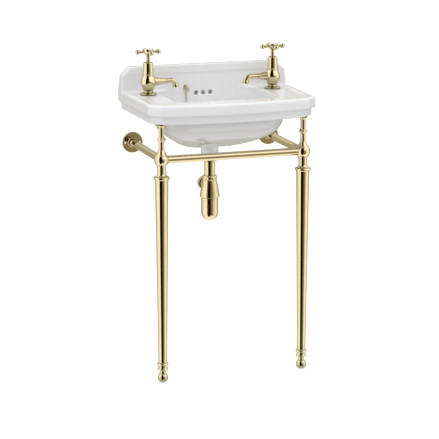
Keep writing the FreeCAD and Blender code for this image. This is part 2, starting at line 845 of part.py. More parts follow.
def makeFrontRail(label):
    rail = newBody(label)
    ends = railSeat + fitGap
    for name, radius in (("railOutside", railWidth / 2), ("railInside", railWidth / 2 - railWall)):
        sketch = newSketch(rail, "YZ_Plane", name)
        drawCircle(sketch, zero, zero, radius)
        if name == "railOutside":
            pad(rail, sketch, legSpacing - ends * 2)
        else:
            pocket(rail, sketch, legSpacing - ends * 2, True)
    return rail


def makeSideRail(label):
    """A tube whose wall end is thick, to take the stem from the wall flange."""
    rail = newBody(label)
    length = legToWall - railSeat - fitGap - railToWall
    outer = railWidth / 2
    inner = outer - railWall
    bore = stemWidth / 2 + fitGap
    turn(rail, "railProfile", [
        (inner, 0), (outer, 0), (outer, length - 0.8), (outer - 0.8, length), (bore, length),
        (bore, length - railPlug), (inner, length - railPlug)])
    return rail


def makeRailStem(label):
    """Threaded stem with a locking collar, from the wall flange into the side rail."""
    stem = newBody(label)
    rod = stemWidth / 2
    collar = stemCollar / 2
    end = railToWall + stemEntry
    turn(stem, "stemProfile", [
        (0, 0.5), (rod, 0.5), (rod, flangeWall), (collar, flangeWall),
        (collar, flangeWall + stemCollarLength - 2), (collar - 2, flangeWall + stemCollarLength),
        (rod, flangeWall + stemCollarLength), (rod, end - 1), (rod - 1, end), (0, end)])
    return stem


def makeWallFlange(label):
    """Round plate with a raised ring and two screw holes, level with each other."""
    flange = newBody(label)
    plate = flangeWidth / 2
    ring = flangeRing / 2
    inner = ring - flangeRingWall
    bore = stemWidth / 2 + fitGap
    rise = flangeWall + flangeRingRise
    turn(flange, "flangeProfile", [
        (bore, 0), (plate, 0), (plate, flangeWall - 1.6),
        (plate - 0.5, flangeWall - 0.5, plate - 1.6, flangeWall), (ring + 0.8, flangeWall),
        (ring, flangeWall + 0.8), (ring - 0.4, rise - 0.8),
        (ring - flangeRingWall / 2, rise, inner + 0.4, rise - 0.8), (inner, flangeWall),
        (bore, flangeWall)])
    holes = newSketch(flange, "XY_Plane", "screwHoles")
    for side in (-1, 1):
        drawCircle(holes, flangeHoleSpacing / 2 * side, zero, flangeHole / 2)
    pocket(flange, holes, flangeWall, True)
    return flange


def makeFrame():
    for side, word, quarter in ((-1, "left", 0), (1, "right", 90)):
        x = legX * side
        place(makeFoot(word + "_foot"), x, legY, 0)
        place(makeLegTube(word + "_leg_tube"), x, legY, 0)
        place(makeCornerJoint(word + "_corner_joint"), x, legY, railHeight, angle=quarter)
        place(makeUpperPost(word + "_upper_post"), x, legY, railHeight)
        place(makeBasinPad(word + "_basin_pad"), x, legY, postTop)
        place(makeSideRail(word + "_side_rail"), x, legY + railSeat + fitGap, railHeight,
              (1, 0, 0), -90)
        place(makeRailStem(word + "_rail_stem"), x, wallY, railHeight, (1, 0, 0), 90)
        place(makeWallFlange(word + "_wall_flange"), x, wallY, railHeight, (1, 0, 0), 90)
    place(makeFrontRail("front_rail"), railSeat + fitGap - legX, legY, railHeight)


# ---- taps, drawn about their own upright axis with zero at the deck --------------------------

def makeTapBody(label):
    """Base, neck and bulb turned in one piece, with a spout to one side and a threaded tail."""
    body = newBody(label)
    base = tapBase / 2
    neck = tapNeck / 2
    bulb = tapBulb / 2
    shoulder = tapShoulder / 2
    shank = tapShank / 2
    tail = tailWidth / 2
    bore = tapBore / 2
    waistZ = tapBulbHeight * 0.38
    turn(body, "bodyProfile", [
        (bore, -tapTail), (tail - 1, -tapTail), (tail, 1 - tapTail), (tail, -tailStart),
        (shank, -tailStart), (shank, sealWall),
        (base, sealWall), (base + 0.4, sealWall + 2, base - 1, sealWall + 3.6),
        (neck + 2.4, sealWall + 5.6), (neck - 0.6, sealWall + 9, neck + 0.6, waistZ),
        (bulb * 0.83, tapBulbHeight * 0.66, bulb - 0.4, tapBulbHeight * 0.9),
        (bulb, tapBulbHeight, bulb - 0.6, tapBulbHeight * 1.14),
        (bulb * 0.9, tapBulbHeight * 1.28, shoulder, tapBodyHeight - 2.6),
        (shoulder, tapBodyHeight), (tapSocket / 2, tapBodyHeight),
        (tapSocket / 2, seatHeight), (bore, seatHeight)])
    makeSpout(body)
    return body


def spoutPath(start, end):
    bend = spoutReach - spoutBend
    fall = spoutHeight - spoutBend
    corner = spoutBend * math.sqrt(0.5)
    return [(start, spoutHeight), (bend, spoutHeight),
            (bend + corner, fall + corner, spoutReach, fall), (spoutReach, end)]


def sweep(body, name, plane, offset, u, v, radius, path, kind):
    """A round section carried along an open path in the body's XZ plane."""
    spine = newSketch(body, "XZ_Plane", name + "Path")
    drawPath(spine, path, False)
    section = newSketch(body, plane, name + "Section", offset)
    drawCircle(section, u, v, radius)
    feature = body.newObject("PartDesign::" + kind, name + kind)
    feature.Profile = section
    feature.Spine = (spine, ["Edge%d" % number for number in range(1, len(path))])
    return feature


def taper(body, name, plane, u, v, stages):
    """A skin through round sections on parallel planes."""
    sketches = []
    for number, (offset, radius) in enumerate(stages):
        sketch = newSketch(body, plane, "%s%d" % (name, number), offset)
        drawCircle(sketch, u, v, radius)
        sketches.append(sketch)
    feature = body.newObject("PartDesign::AdditiveLoft", name + "Loft")
    feature.Profile = sketches[0]
    feature.Sections = sketches[1:]
    return feature


def makeSpout(body):
    start = tapBulb / 2 - spoutSink
    pipe = spoutWidth / 2
    sweep(body, "spout", "YZ_Plane", start, zero, spoutHeight, pipe,
          spoutPath(start, mouthHeight), "AdditivePipe")
    taper(body, "spoutRoot", "YZ_Plane", zero, spoutHeight,
          [(start, spoutRoot / 2), (start + spoutBlend * 0.35, spoutRoot / 2 - 2),
           (start + spoutBlend, pipe + 0.3)])
    taper(body, "mouth", "XY_Plane", spoutReach, zero,
          [(mouthHeight, mouthWidth / 2), (mouthHeight + 1.6, mouthWidth / 2 - 0.2),
           (mouthHeight + mouthFlare, pipe + 0.1)])
    sweep(body, "spoutWay", "YZ_Plane", zero, zero, spoutHeight, spoutBore / 2,
          spoutPath(zero, mouthHeight - 1), "SubtractivePipe")


def makeRing(label, inner, outer, low, high):
    ring = newBody(label)
    turn(ring, "ringProfile", rectangle(inner, low, outer, high))
    return ring


def makeHexNut(label, across, bore, low, height):
    """A six-sided nut with its axis upright."""
    nut = newBody(label)
    point = across / math.sqrt(3)
    flat = across / 2
    sketch = newSketch(nut, "XY_Plane", "nutOutline", low)
    drawPath(sketch, [(zero, point), (-flat, point / 2), (-flat, point / -2), (zero, -point),
                      (flat, point / -2), (flat, point / 2)])
    pad(nut, sketch, height)
    hole = newSketch(nut, "XY_Plane", "nutHole", low)
    drawCircle(hole, zero, zero, bore)
    pocket(nut, hole, height, True)
    return nut


def drawPorts(sketch, angle):
    """Two round ports on opposite sides of the axis, along the first or the second direction."""
    for side in (-1, 1):
        if angle == 0:
            drawCircle(sketch, portOffset * side, zero, portWidth / 2)
        else:
            drawCircle(sketch, zero, portOffset * side, portWidth / 2)


def makeCartridge(label):
    """Valve body: a seat with two ports, a chamber open towards the spout, and a long neck."""
    cartridge = newBody(label)
    outer = tapSocket / 2 - fitGap
    chamber = discWidth / 2 + runGap
    bore = spindleCore / 2 + runGap
    chamberTop = spoutHeight + spoutBore
    turn(cartridge, "cartridgeProfile", [
        (zero, seatHeight), (outer, seatHeight), (outer, tapBodyHeight),
        (outer + 1.4, tapBodyHeight), (outer + 1.4, tapBodyHeight + 4),
        (cartridgeNeck / 2, tapBodyHeight + 6), (cartridgeNeck / 2, cartridgeTop),
        (bore, cartridgeTop), (bore, chamberTop), (chamber, chamberTop),
        (chamber, seatHeight + seatWall), (zero, seatHeight + seatWall)])
    ports = newSketch(cartridge, "XY_Plane", "seatPorts", seatHeight)
    drawPorts(ports, 0)
    pocket(cartridge, ports, seatWall, True)
    window = newSketch(cartridge, "YZ_Plane", "spoutWindow")
    drawCircle(window, zero, spoutHeight, spoutBore / 2)
    pocket(cartridge, window, tapSocket, True)
    return cartridge


def makeValveDisc(label):
    """Ceramic disc whose two ports stand across those of the seat while the tap is shut."""
    disc = newBody(label)
    turn(disc, "discProfile", rectangle(zero, discZ, discWidth / 2, discZ + discWall))
    ports = newSketch(disc, "XY_Plane", "discPorts", discZ)
    drawPorts(ports, 90)
    pocket(disc, ports, discWall, True)
    return disc


def makeSpindle(label):
    spindle = newBody(label)
    core = spindleCore / 2
    shaft = spindleWidth / 2
    shoulder = cartridgeTop + 2
    turn(spindle, "spindleProfile", [
        (0, discZ + discWall), (core, discZ + discWall), (core, shoulder), (shaft, shoulder + 1.5),
        (shaft, hubFoot), (core, hubFoot), (core, hubFoot + spindleGrip), (0, hubFoot + spindleGrip)])
    return spindle


def makeCover(label):
    """Tapered shell over the valve, open below and with a hole for the spindle above."""
    cover = newBody(label)
    foot = tapShoulder / 2
    top = coverTopWidth / 2
    hole = spindleWidth / 2 + coverGap
    inside = top - coverWall - coverRound
    turn(cover, "coverProfile", [
        (foot - coverWall, tapBodyHeight), (foot + 0.4, tapBodyHeight),
        (foot + 0.8, tapBodyHeight + 1.3, foot + 0.4, tapBodyHeight + 2.6),
        (foot - 0.5, tapBodyHeight + 3.4), (top, coverTop - coverRound),
        (top - coverRound * 0.29, coverTop - coverRound * 0.29, top - coverRound, coverTop),
        (hole, coverTop), (hole, coverTop - coverWall), (inside, coverTop - coverWall),
        (top - coverWall, coverTop - coverWall - coverRound),
        (foot - coverWall, tapBodyHeight + 3.4)])
    return cover


def makeHandle(label):
    """Cup-shaped hub with four arms, each with a small collar and a ball at its end."""
    handle = newBody(label)
    hub = hubWidth / 2
    foot = hubFoot - armHeight
    top = hubTop - armHeight
    bore = spindleCore / 2 + fitGap
    waist = hubWaist / 2
    recess = hub - hubRim
    floor = top - indexWall
    turn(handle, "hubProfile", [
        (0, foot + spindleGrip + 0.5), (bore, foot + spindleGrip + 0.5), (bore, foot), (waist - 0.5, foot),
        (waist - 0.5, foot + 2.6), (hub * 0.7, foot + 7.4, hub - 1.6, foot + 12.6),
        (hub, top - 3.4, hub - 0.1, top - 1.4), (hub - 0.7, top), (recess, top), (recess, floor),
        (0, floor)])
    arm = armWidth / 2
    ball = armBall / 2
    collar = armCollar / 2
    ballStart = armReach - root(ball * ball - arm * arm)
    sketch = newSketch(handle, "XZ_Plane", "armProfile")
    drawPath(sketch, [
        (bore + 2, 0), (bore + 2, arm), (ballStart - 4.4, arm - 0.5), (ballStart - 3.6, collar - 0.4),
        (ballStart - 2.4, collar, ballStart - 1.2, collar - 0.6), (ballStart, arm),
        (armReach, ball, armReach + ball, 0)])
    feature = handle.newObject("PartDesign::Revolution", "arm")
    feature.Profile = sketch
    feature.ReferenceAxis = (sketch, ["H_Axis"])
    feature.Angle = 360
    pattern = handle.newObject("PartDesign::PolarPattern", "arms")
    pattern.Originals = [feature]
    pattern.Axis = (originPlane(handle, "Z_Axis"), [""])
    pattern.Angle = 360
    pattern.Occurrences = 4
    handle.Tip = pattern
    return handle


def makeIndex(label):
    """Porcelain disc with a low dome, let into the top of the hub."""
    index = newBody(label)
    disc = hubWidth / 2 - hubRim - fitGap
    floor = hubTop - indexWall
    crown = hubTop + indexDome
    turn(index, "indexProfile", [
        (zero, floor), (disc, floor), (disc, hubTop - 0.6), dome(disc, hubTop - 0.6, crown)])
    return index


def makeTaps():
    for word, side, angle in (("hot", -1, 0), ("cold", 1, 180)):
        x = tapX * side
        shank = tapShank / 2
        below = -deckWall - washerWall
        pieces = (makeRing(word + "_base_seal", shank + fitGap * 2, tapBase / 2 - 1, zero, sealWall),
                  makeTapBody(word + "_tap_body"),
                  makeRing(word + "_deck_washer", shank + fitGap * 2, washerWidth / 2, below, -deckWall),
                  makeHexNut(word + "_backnut", nutAcross, shank + fitGap, below - nutHeight, nutHeight),
                  makeCartridge(word + "_cartridge"),
                  makeCover(word + "_tap_cover"))
        for piece in pieces:
            place(piece, x, tapY, deckTop, angle=angle)
        turning = (makeValveDisc(word + "_valve_disc"),
                   makeSpindle(word + "_spindle"),
                   makeIndex(word + "_index"))
        for piece in turning:
            place(piece, x, tapY, deckTop, angle=angle)
        place(makeHandle(word + "_handle"), x, tapY, deckTop + armHeight, angle=angle)


# ---- waste and bottle trap ----------------------------------------------------------------

def makeWasteBody():
    """Flanged, slotted tube through the basin, with a cone at the top where the plug sits."""
    waste = newBody("waste_body")
    flangeZ = bowlFloor - seatDepth + sealWall
    rim = flangeZ + wasteFlangeWall
    shank = wasteShank / 2
    bore = wasteBore / 2
    socket = pipeWidth / 2 + fitGap
    outer = wasteFlange / 2
    turn(waste, "wasteProfile", [
        (socket, wasteFoot), (shank, wasteFoot), (shank, flangeZ), (outer, flangeZ),
        (outer - 0.3, flangeZ + 2, outer - 2.4, rim), (plugWidth / 2 + 0.5, rim),
        (bore, rim - coneDepth), (bore, wasteFoot + pipeEntry), (socket, wasteFoot + pipeEntry)])
    slot = newSketch(waste, "XZ_Plane", "overflowSlot")
    drawPath(slot, rectangle(-slotWidth / 2, drainZ, slotWidth / 2, drainZ + drainHeight - 1))
    pocket(waste, slot, wasteShank)
    return waste


def makeTrapBell():
    """Bell with a threaded top, a socket for the bottle below and an outlet at the back."""
    bell = newBody("trap_bell")
    top = bellTopWidth / 2
    wide = bellWidth / 2
    skirtZ = -bellHeight
    low = skirtZ - bellSkirt
    pipe = pipeWidth / 2 + fitGap * 3
    thread = bottleThread / 2 + fitGap * 3
    neck = trapNutWidth / 2 - nutWall
    neckTop = trapNutHeight - nutLip - sealWall * 2
    turn(bell, "bellProfile", [
        (pipe, neckTop), (neck, neckTop), (neck, zero), (top, zero), (top + 0.6, -1.2),
        (wide, skirtZ), (wide, low + 1), (wide - 1, low), (thread, low), (thread, low + bottleSocket),
        (top - bellWall, -bellWall - 1), (pipe, -bellWall - 1)])
    spigot = newSketch(bell, "XZ_Plane", "outlet", -pipe)
    drawCircle(spigot, zero, -outletDrop, outletNutWidth / 2 - nutWall)
    pad(bell, spigot, outletReach - pipe - nutLip - sealWall * 2, True)
    way = newSketch(bell, "XZ_Plane", "outletWay", -pipe)
    drawCircle(way, zero, -outletDrop, outletPipe / 2 + fitGap)
    pocket(bell, way, outletReach)
    return bell


def makeSlipNut(label, width, length, bore):
    """Round nut: open at the foot, with a lip round the pipe at the far end."""
    nut = newBody(label)
    outer = width / 2
    inner = outer - nutWall + fitGap
    turn(nut, "nutProfile", [
        (inner, zero), (outer - 0.6, zero), (outer, 0.8), (outer, length - 4),
        (outer - 1, length - 1.4, outer - 3.6, length), (bore, length), (bore, length - nutLip),
        (inner, length - nutLip)])
    return nut


def makeBottle():
    """Cup with a threaded neck and a round bottom."""
    bottle = newBody("trap_bottle")
    outer = bottleWidth / 2
    inner = outer - bottleWall
    thread = bottleThread / 2
    neckTop = bottleSocket - neckRelief
    low = -bottleDrop
    turn(bottle, "bottleProfile", [
        (thread - bottleWall, neckTop), (thread, neckTop), (thread, -sealWall), (outer, -sealWall),
        (outer, low), (outer * math.sqrt(0.5), low - outer * math.sqrt(0.5), zero, low - outer),
        (zero, low - inner), (inner * math.sqrt(0.5), low - inner * math.sqrt(0.5), inner, low),
        (inner, -sealWall - bottleWall), (thread - bottleWall, -sealWall - bottleWall)])
    return bottle


def makeWasteAndTrap():
    shank = wasteShank / 2
    nutRadius = wasteNutWidth / 2
    seat = bowlFloor - seatDepth
    place(makeWasteBody(), 0, wasteY, 0)
    place(makeRing("waste_seal", shank + fitGap, wasteFlange / 2 - 1, zero, sealWall), 0, wasteY, seat)
    place(makeRing("waste_washer", shank + fitGap, nutRadius, -washerWall, zero), 0, wasteY, bossBottom)
    place(makeHexNut("waste_nut", wasteNutWidth, shank + fitGap, -nutHeight, nutHeight),
          0, wasteY, bossBottom - washerWall)
    dipFoot = bottleFoot + dipRise
    pipe = newBody("trap_pipe")
    turn(pipe, "pipeProfile", rectangle(pipeWidth / 2 - pipeWall, 0, pipeWidth / 2,
                                        wasteFoot + pipeEntry - dipFoot))
    place(pipe, 0, wasteY, dipFoot)
    place(makeTrapBell(), 0, wasteY, bellTop)
    place(makeSlipNut("trap_nut", trapNutWidth, trapNutHeight, pipeWidth / 2 + fitGap), 0, wasteY, bellTop)
    sealLow = trapNutHeight - nutLip - sealWall * 2
    place(makeRing("trap_seal", pipeWidth / 2 + fitGap, trapNutWidth / 2 - nutWall,
                   sealLow, sealLow + sealWall * 2), 0, wasteY, bellTop)
    place(makeBottle(), 0, wasteY, bellFoot)
    place(makeRing("bottle_seal", bottleThread / 2 + fitGap, bottleWidth / 2, -sealWall, zero),
          0, wasteY, bellFoot)
    nutStart = wasteY + outletReach - outletNutLength
    place(makeSlipNut("outlet_nut", outletNutWidth, outletNutLength, outletPipe / 2 + fitGap),
          0, nutStart, outletZ, (1, 0, 0), -90)
    sealLow = outletNutLength - nutLip - sealWall * 2
    place(makeRing("outlet_seal", outletPipe / 2 + fitGap, outletNutWidth / 2 - nutWall,
                   sealLow, sealLow + sealWall * 2), 0, nutStart, outletZ, (1, 0, 0), -90)


# ---- plug, chain and stay -----------------------------------------------------------------

def addRing(body, name, height, width, wire):
    """A wire ring that stands upright, facing front, with its centre at the given height."""
    ring = body.newObject("PartDesign::AdditiveTorus", name)
    ring.AttachmentSupport = [(originPlane(body, "XZ_Plane"), "")]
    ring.MapMode = "FlatFace"
    ring.AttachmentOffset = FreeCAD.Placement(FreeCAD.Vector(0, height.value, 0), FreeCAD.Rotation())
    ring.setExpression("AttachmentOffset.Base.y", height.text)
    ring.setExpression("Radius1", ((width - wire) / 2).text)
    ring.setExpression("Radius2", (wire / 2).text)


def makePlug():
    """Domed cap with an eye on a rubber cone that lies just inside the cone of the waste."""
    mouth = plugWidth / 2 + 0.5
    slope = (mouth - wasteBore / 2) / coneDepth
    wide = mouth - slope * capDrop - plugGap
    narrow = mouth - slope * (coneDepth - 0.5) - plugGap
    rubber = newBody("plug_rubber")
    turn(rubber, "rubberProfile", [
        (zero, 0.5 - coneDepth), (narrow, 0.5 - coneDepth), (wide, -capDrop), (zero, -capDrop)])
    cap = newBody("plug_cap")
    turn(cap, "capProfile", [
        (zero, -capDrop), (wide - 0.3, -capDrop), (wide, 0.4 - capDrop),
        dome(wide, 0.4 - capDrop, plugRise)])
    addRing(cap, "eye", plugRise + eyeWidth / 2 - eyeWire / 2, eyeWidth, eyeWire)
    place(rubber, 0, wasteY, wasteRim)
    place(cap, 0, wasteY, wasteRim)


def makeStay():
    """Small rosette with a stem and a round knob that keeps the ring on."""
    stay = newBody("chain_stay")
    stud = stayStud / 2
    knob = stayKnob / 2
    neck = stayNeck / 2
    rosette = stayRosette / 2
    turn(stay, "stayProfile", [
        (zero, -stayStudLength), (stud, -stayStudLength), (stud, zero), (rosette, zero),
        (rosette - 0.6, 1.4, rosette - 2.6, 2), (neck, 2.6),
        (neck, stayReach - root(knob * knob - neck * neck)),
        (knob, stayReach, zero, stayReach + knob)])
    place(stay, -stayOffset, panelY, stayZ, (1, 0, 0), 90)
    ring = newBody("stay_ring")
    addRing(ring, "wireRing", zero, ringWidth, ringWire)
    place(ring, -stayOffset, ringY, ringZ)


def rounded(points):
    """Straight runs joined by arcs that just touch both runs at every inner point."""
    edges = []
    start = points[0]
    for before, corner, after in zip(points, points[1:], points[2:]):
        back = (before - corner).normalize()
        ahead = (after - corner).normalize()
        trim = 0.45 * min(before.distanceToPoint(corner), corner.distanceToPoint(after))
        first = corner + back * trim
        last = corner + ahead * trim
        half = back.getAngle(ahead) / 2
        radius = trim * math.tan(half)
        bisector = (back + ahead).normalize()
        middle = corner + bisector * (radius / math.sin(half) - radius)
        edges.append(Part.LineSegment(start, first).toShape())
        edges.append(Part.Arc(first, middle, last).toShape())
        print("chain bend radius %.1f mm" % radius)
        start = last
    edges.append(Part.LineSegment(start, points[-1]).toShape())
    return edges


def makeChain():
    """The bead chain as one tube: down the back of the bowl, then along its floor to the plug."""
    floor = bowlFloor + chainWidth / 2
    spots = [(-stayOffset, ringY, ringZ - ringWidth / 2 + ringWire / 2),
             (-stayOffset + 0.4, ringY - 1.3, floor + 84),
             (-stayOffset + 1.4, ringY - 4.7, floor + 53),
             (-stayOffset + 3.5, ringY - 12.1, floor + 25),
             (-stayOffset + 8, ringY - 22.5, floor + 5.5),
             (-stayOffset + 21, ringY - 36.5, floor + 0.6),
             (-stayOffset + 38, wasteY + 7.5, wasteRim + chainWidth),
             (-eyeWidth / 2 - 0.8, wasteY + 1.5, wasteRim + plugRise + eyeWidth / 2)]
    points = [FreeCAD.Vector(x.value, y.value, z.value) for x, y, z in spots]
    edges = rounded(points)
    path = Part.Wire(edges)
    ahead = points[1] - points[0]
    section = Part.Wire(Part.makeCircle(chainWidth.value / 2, points[0], ahead))
    tube = path.makePipeShell([section], True, False, 2)
    expected = math.pi * (chainWidth.value / 2) ** 2 * path.Length
    print("chain length %.1f mm, volume %.1f, section times length %.1f"
          % (path.Length, tube.Volume, expected))
    chain = doc.addObject("Part::Feature", "plug_chain")
    chain.Label = "plug_chain"
    chain.Shape = tube
    chain.Placement = FreeCAD.Placement()


# ---- build, check and write ---------------------------------------------------------------

def writeParts():
    doc.recompute()
    for item in doc.Objects:
        wrong = [word for word in item.State if word in ("Invalid", "Error")]
        if wrong:
            raise RuntimeError("%s in %s: %s" % (item.Name, item.getParentGeoFeatureGroup(), wrong))
    os.makedirs("parts", exist_ok=True)
    nodes = [item for item in doc.Objects
             if item.TypeId == "PartDesign::Body" or item.Name == "plug_chain"]
    for node in nodes:
        shape = node.Shape
        if shape.isNull() or not shape.isValid() or len(shape.Solids) != 1:
            raise RuntimeError("%s is not one valid solid" % node.Label)
        shape.exportStep("parts/%s.step" % node.Label)
        print("%s %.0f" % (node.Label, shape.Volume))
    print("%d parts written" % len(nodes))


makeBasin()
makeFrame()
makeTaps()
makeWasteAndTrap()
makePlug()
makeStay()
makeChain()
writeParts()
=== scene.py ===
import json
import math
import bmesh
import bpy
from mathutils import Euler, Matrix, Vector


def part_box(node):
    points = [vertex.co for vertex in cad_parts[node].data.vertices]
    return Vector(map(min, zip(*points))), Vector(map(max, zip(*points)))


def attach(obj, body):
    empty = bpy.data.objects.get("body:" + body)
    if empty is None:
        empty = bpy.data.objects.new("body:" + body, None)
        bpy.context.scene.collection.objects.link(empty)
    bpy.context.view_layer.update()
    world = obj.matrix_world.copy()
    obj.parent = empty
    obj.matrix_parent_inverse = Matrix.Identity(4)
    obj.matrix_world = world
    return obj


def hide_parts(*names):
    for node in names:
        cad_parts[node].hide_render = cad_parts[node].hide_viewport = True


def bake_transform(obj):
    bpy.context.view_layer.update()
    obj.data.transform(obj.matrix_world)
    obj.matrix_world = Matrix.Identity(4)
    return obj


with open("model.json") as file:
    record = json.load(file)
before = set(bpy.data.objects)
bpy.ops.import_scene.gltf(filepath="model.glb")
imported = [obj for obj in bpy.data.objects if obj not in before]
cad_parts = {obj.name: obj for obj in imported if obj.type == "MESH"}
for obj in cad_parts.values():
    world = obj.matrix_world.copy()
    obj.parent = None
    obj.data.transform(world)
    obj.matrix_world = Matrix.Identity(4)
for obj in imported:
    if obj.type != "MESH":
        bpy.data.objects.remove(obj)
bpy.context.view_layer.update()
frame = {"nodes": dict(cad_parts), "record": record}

cameraView = {
    "place": (-1.8102, -5.345, 1.6981),  # metres
    "yaw": -18.707,  # degrees about Z
    "pitch": 12.601,  # degrees below level
    "lens": 162.77,
    "sensor": 36,
    "nearest": 0.05,
    "farthest": 60,
}


def addCamera():
    cam = bpy.data.objects.new("camera", bpy.data.cameras.new("camera"))
    bpy.context.scene.collection.objects.link(cam)
    cam.data.sensor_width = cameraView["sensor"]
    cam.data.lens = cameraView["lens"]
    cam.data.clip_start = cameraView["nearest"]
    cam.data.clip_end = cameraView["farthest"]
    cam.location = cameraView["place"]
    tilt = math.radians(90 - cameraView["pitch"])
    cam.rotation_euler = Euler((tilt, 0, math.radians(cameraView["yaw"])), "XYZ")
    bpy.context.scene.camera = cam


def newMaterial(name):
    mat = bpy.data.materials.new(name)
    mat.use_nodes = True
    shader = mat.node_tree.nodes["Principled BSDF"]
    return mat, mat.node_tree, shader


def addNode(tree, kind, x, y, **values):
    node = tree.nodes.new(kind)
    node.location = (x, y)
    for key, value in values.items():
        setattr(node, key, value)
    return node


def mathNode(tree, x, y, operation, first, second=None):
    node = addNode(tree, "ShaderNodeMath", x, y, operation=operation)
    for socket, value in zip(node.inputs, (first, second)):
        if value is None:
            continue
        if isinstance(value, (int, float)):
            socket.default_value = value
        else:
            tree.links.new(value, socket)
    return node.outputs[0]


def rampNode(tree, x, y, source, stops):
    node = addNode(tree, "ShaderNodeValToRGB", x, y)
    ramp = node.color_ramp
    while len(ramp.elements) < len(stops):
        ramp.elements.new(0.5)
    for element, (place, colour) in zip(ramp.elements, stops):
        element.position = place
        element.color = (*colour, 1)
    tree.links.new(source, node.inputs[0])
    return node.outputs[0]


def noiseNode(tree, x, y, scale, detail=2):
    coord = addNode(tree, "ShaderNodeTexCoord", x - 200, y)
    noise = addNode(tree, "ShaderNodeTexNoise", x, y)
    noise.inputs["Scale"].default_value = scale
    noise.inputs["Detail"].default_value = detail
    tree.links.new(coord.outputs["Object"], noise.inputs["Vector"])
    return noise.outputs["Fac"]


def blendTones(tree, x, y, source, spread, colours):
    return rampNode(tree, x, y, source, list(zip(spread, colours)))


def addBump(tree, shader, source, strength, height):
    bump = addNode(tree, "ShaderNodeBump", -280, -200)
    bump.inputs["Strength"].default_value = strength
    bump.inputs["Distance"].default_value = height
    tree.links.new(source, bump.inputs["Height"])
    tree.links.new(bump.outputs[0], shader.inputs["Normal"])
    return bump


room = {
    "softHeights": ((-90, 0.70), (0, 0.81), (35, 0.83), (90, 0.98)),  # what lights the glaze, by degrees up
    "faces": -18.7,  # degrees, where the metal sees the camera's side of the room
    "floorLevel": 0.95,
    "topLevel": 0.36,
    "gapDark": 0.003,  # the unlit gap between the soft boxes
    "shinyGain": 1.38,
    "warmth": (1, 1.075, 1.38),  # the power that a level is raised to in red, green and blue
    "floorColour": (0.70, 0.70, 0.70),
    "floorRough": 0.9,
    "floorLift": 0.46,
    "floorSides": 96,
    "floorRadius": 14,  # metres
    "floorDrop": 0.0004,  # metres, which keeps it clear of the feet
}
lamps = {
    # metres, metres, and watts
    "topLamp": {"place": (0.2, -0.9, 3.2), "width": 2.4, "power": 22.0},
    "leftLamp": {"place": (-2.4, -1.6, 1.8), "width": 1.8, "power": 8.0},
}
lampAim = (0, 0, 0.7)
# degrees to the right of the camera and how bright the room is there, at eye level
roomRing = ((-180, 0.32), (-128, 0.38), (-106, 0.74), (-84, 0.94), (-58, 1.0), (-40, 1.0),
            (-31, 0.010), (-12, 0.004), (0, 0.022), (13, 0.09), (28, 0.20), (43, 0.29),
            (51, 0.64), (62, 0.90), (88, 0.95), (108, 0.78), (126, 0.40), (180, 0.32))
# the same from the soft boxes' lower edge up to 48 degrees
boxRing = ((-180, 0.50), (-120, 0.80), (-90, 1.06), (-44, 1.08), (-37, 0.02), (12, 0.02),
           (30, 1.08), (100, 1.04), (126, 0.80), (180, 0.50))
# the same for the gap alone, which stands taller than the rest
gapRing = ((-180, 1.0), (-38, 1.0), (-31, 0.0), (-4, 0.0), (14, 1.0), (180, 1.0))
# how much of each part of the room shows, by degrees up
ringHeights = ((-90, 0), (-50, 0), (-38, 1), (10, 1), (22, 0), (90, 0))
boxHeights = ((-90, 0), (-20, 0), (0, 1), (90, 1))
topHeights = ((-90, 0), (48, 0), (64, 1), (90, 1))
gapHeights = ((-90, 0), (-66, 0), (-56, 1), (46, 1), (58, 0), (90, 0))


def warm(level):
    # dim parts of the room are lit by lamps that are yellower
    return tuple(level ** power for power in room["warmth"])


def grey(level):
    return (level,) * 3


def ringRamp(tree, x, y, turnedFactor, stops, colour):
    places = [((degrees + 180) / 360, colour(level)) for degrees, level in stops]
    return rampNode(tree, x, y, turnedFactor, places)


def heightRamp(tree, x, y, heightFactor, stops):
    places = [((degrees + 90) / 180, grey(level)) for degrees, level in stops]
    return rampNode(tree, x, y, heightFactor, places)


def mixColours(tree, x, y, factor, first, second):
    node = addNode(tree, "ShaderNodeMix", x, y, data_type="RGBA")
    tree.links.new(factor, node.inputs[0])
    for socket, value in ((node.inputs[6], first), (node.inputs[7], second)):
        if isinstance(value, tuple):
            socket.default_value = (*value, 1)
        else:
            tree.links.new(value, socket)
    return node.outputs[2]


